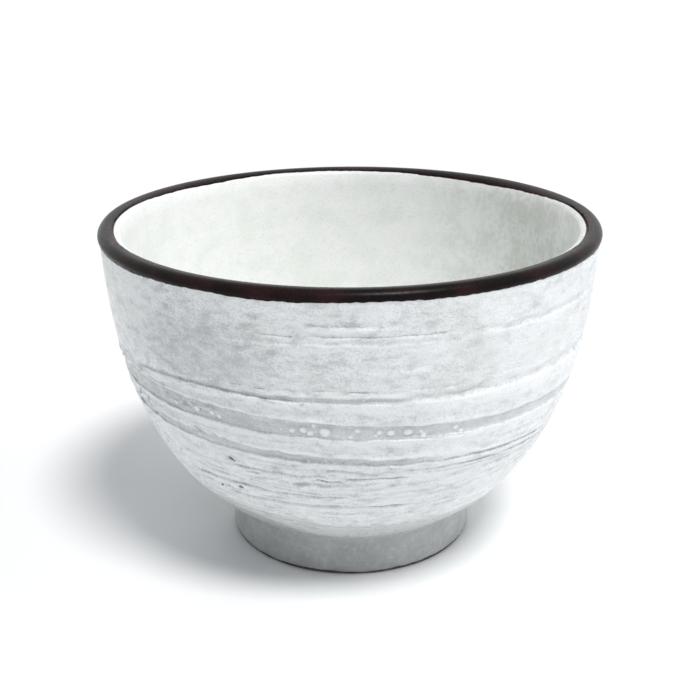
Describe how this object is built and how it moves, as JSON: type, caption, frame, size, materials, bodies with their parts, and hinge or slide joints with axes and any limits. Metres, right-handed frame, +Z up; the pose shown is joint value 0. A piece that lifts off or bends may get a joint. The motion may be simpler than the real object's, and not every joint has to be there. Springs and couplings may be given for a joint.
{
  "type": "tea bowl",
  "caption": "Round stoneware tea bowl on a low foot ring: flared wall with throwing rings under pale glaze, a dark band over the lip, for drinking tea held in both hands.",
  "frame": {"origin": "centre of the plane that the foot ring stands on", "axes": "+Z up along the bowl's turning axis, -Y towards the side seen from the front, +X to the right of that side"},
  "size_m": [0.11, 0.11, 0.0746],
  "materials": {
    "stoneware": "fired iron-bearing clay, covered by glaze",
    "bare_clay": "bare fired clay, matt and slightly gritty",
    "pale_glaze": "pale grey-white slip glaze, satin, greyer where it is thin in the throwing rings",
    "liner_glaze": "smooth off-white liner glaze with a faint green cast, satin gloss",
    "iron_glaze": "dark brown-black iron glaze, glossy",
    "grey_glaze": "thin grey glaze over clay, satin",
    "well_glaze": "thin grey glaze over clay, satin"
  },
  "bodies": {
    "root": {"stoneware_body": "stoneware", "foot_ring": "bare_clay", "outer_glaze": "pale_glaze", "inner_glaze": "liner_glaze", "rim_glaze": "iron_glaze", "foot_glaze": "grey_glaze", "foot_well_glaze": "well_glaze"}
  },
  "joints": []
}
